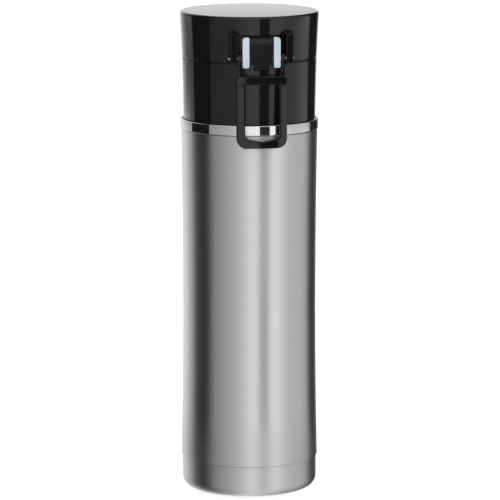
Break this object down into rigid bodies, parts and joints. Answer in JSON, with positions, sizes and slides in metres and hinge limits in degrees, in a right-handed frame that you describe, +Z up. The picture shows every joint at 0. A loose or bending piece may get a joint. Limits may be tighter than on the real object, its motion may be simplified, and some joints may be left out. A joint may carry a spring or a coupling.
{
  "type": "vacuum flask",
  "caption": "Slim double-wall steel vacuum flask with a screw-on black lid, hinged flip cap over a drinking spout, push latch with pale side bars, and a small carry loop.",
  "frame": {"origin": "centre of the flat face that the flask stands on", "axes": "+Z up along the flask, -Y towards the latch and the carry loop, +Y towards the cap's hinge"},
  "size_m": [0.072, 0.0779, 0.2509],
  "materials": {
    "brushed_steel": "stainless steel brushed round the body, satin",
    "polished_steel": "mirror-polished stainless steel",
    "liner_steel": "electropolished stainless steel, dull",
    "pin_steel": "ground steel",
    "foil": "bright foil",
    "getter_metal": "grey sintered metal",
    "seal_glass": "solder glass bead",
    "gloss_black": "glossy black moulded plastic",
    "satin_black": "satin black moulded plastic",
    "inner_plastic": "fine-textured black polypropylene",
    "pale_accent": "satin pale blue-grey plastic",
    "silicone": "translucent grey silicone",
    "pad_rubber": "dark textured rubber"
  },
  "bodies": {
    "flask": {"outer_shell": "brushed_steel", "inner_liner": "liner_steel", "base_cup": "brushed_steel", "base_pad": "pad_rubber", "vacuum_seal": "seal_glass", "getter": "getter_metal", "heat_shield_foil": "foil", "neck_trim_ring": "polished_steel"},
    "gasket": {"neck_gasket": "silicone"},
    "lid_base": {"lid_collar": "gloss_black", "thread_sleeve": "inner_plastic", "spout_gasket": "silicone", "drinking_spout": "inner_plastic", "hinge_pin": "pin_steel", "hinge_spring": "pin_steel"},
    "cap": {"flip_cap": "gloss_black", "cap_liner": "inner_plastic", "cap_seal": "silicone", "latch_pin": "pin_steel", "latch_spring": "pin_steel"},
    "latch": {"latch_lever": "satin_black", "latch_accent_left": "pale_accent", "latch_accent_right": "pale_accent"},
    "loop": {"carry_loop": "gloss_black"}
  },
  "joints": [
    {"name": "lid_rise", "type": "slide", "parent": "flask", "child": "gasket", "axis": [0, 0, 1], "range_m": [0, 0.006]},
    {"name": "lid_screw", "type": "hinge", "parent": "gasket", "child": "lid_base", "pos_m": [0, 0, 0.2], "axis": [0, 0, 1], "range_deg": [0, 540]},
    {"name": "cap_hinge", "type": "hinge", "parent": "lid_base", "child": "cap", "pos_m": [0, 0.0364, 0.2266], "axis": [-1, 0, 0], "range_deg": [0, 115]},
    {"name": "latch_press", "type": "hinge", "parent": "cap", "child": "latch", "pos_m": [0, -0.0343, 0.2294], "axis": [-1, 0, 0], "range_deg": [0, 12], "stiffness_Nm_per_rad": 0.05, "springref_deg": -8.59, "deforming": ["latch_spring"]},
    {"name": "loop_swing", "type": "hinge", "parent": "cap", "child": "loop", "pos_m": [0, -0.0343, 0.2294], "axis": [-1, 0, 0], "range_deg": [0, 142]}
  ],
  "couplings": [
    {"joint": "lid_rise", "follows": "lid_screw", "m_per_rad": 0.00063662}
  ]
}
